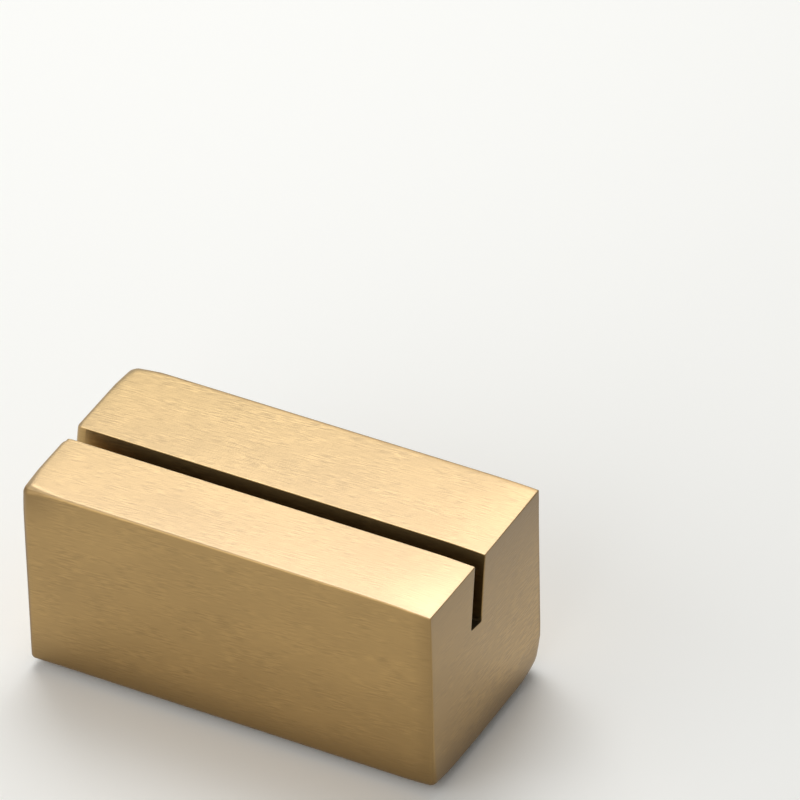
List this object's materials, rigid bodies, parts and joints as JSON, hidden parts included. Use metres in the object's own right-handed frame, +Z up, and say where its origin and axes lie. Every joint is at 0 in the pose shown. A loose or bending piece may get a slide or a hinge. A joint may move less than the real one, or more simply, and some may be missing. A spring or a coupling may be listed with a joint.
{
  "type": "place card holder",
  "caption": "Rectangular brushed brass bar with a leaning, open-ended slot sawn along its top to hold a place card upright, on a felt pad.",
  "frame": {"origin": "middle of the pad's underside, on the table", "axes": "+X along the bar and the card, to the right of someone facing the front; -Y the front; +Z up"},
  "size_m": [0.051, 0.025, 0.0252],
  "materials": {
    "brass": "brushed along the bar, satin, lightly lacquered",
    "adhesive": "tacky translucent film",
    "felt": "pressed wool felt"
  },
  "bodies": {
    "root": {"holder_block": "brass", "adhesive_film": "adhesive", "felt_pad": "felt"}
  },
  "joints": []
}
